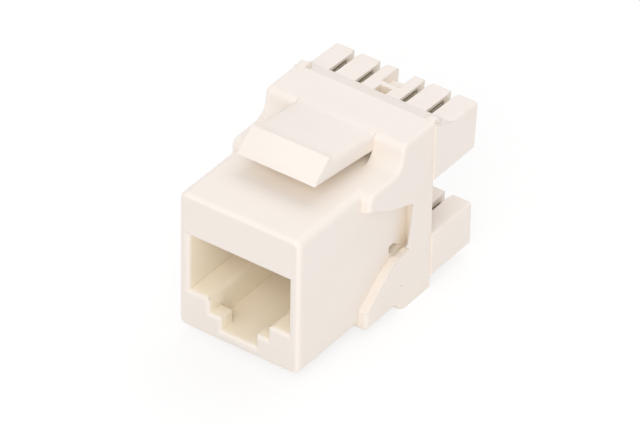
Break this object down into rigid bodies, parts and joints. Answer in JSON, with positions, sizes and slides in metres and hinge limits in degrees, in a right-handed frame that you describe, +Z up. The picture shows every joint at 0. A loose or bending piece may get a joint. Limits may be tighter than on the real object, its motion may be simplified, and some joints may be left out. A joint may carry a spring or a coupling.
{
  "type": "keystone jack",
  "caption": "Snap-in network jack with a modular plug port at the front, a springing panel latch on top and two rows of punch-down wire slots at the rear.",
  "frame": {"origin": "centre of the plug port's opening, on the front face", "axes": "+X across to the right as seen from the front, +Y from the front face to the rear, +Z up towards the panel latch"},
  "size_m": [0.0172, 0.0283, 0.0215],
  "materials": {
    "ivory_plastic": "satin",
    "dark_plastic": "satin",
    "board_laminate": "satin",
    "gold_plate": "polished",
    "tinned_bronze": "satin"
  },
  "bodies": {
    "jack": {"front_housing": "ivory_plastic", "idc_housing": "ivory_plastic", "contact_carrier": "dark_plastic", "circuit_board": "board_laminate", "jack_contact_1": "gold_plate", "jack_contact_2": "gold_plate", "jack_contact_3": "gold_plate", "jack_contact_4": "gold_plate", "jack_contact_5": "gold_plate", "jack_contact_6": "gold_plate", "jack_contact_7": "gold_plate", "jack_contact_8": "gold_plate", "idc_contact_1": "tinned_bronze", "idc_contact_2": "tinned_bronze", "idc_contact_3": "tinned_bronze", "idc_contact_4": "tinned_bronze", "idc_contact_5": "tinned_bronze", "idc_contact_6": "tinned_bronze", "idc_contact_7": "tinned_bronze", "idc_contact_8": "tinned_bronze"},
    "latch": {"panel_latch": "ivory_plastic"}
  },
  "joints": [
    {"name": "latch_press", "type": "hinge", "parent": "jack", "child": "latch", "pos_m": [0, 0.0172, 0.00903], "axis": [1, 0, 0], "range_deg": [0, 9.5], "stiffness_Nm_per_rad": 0.5}
  ]
}
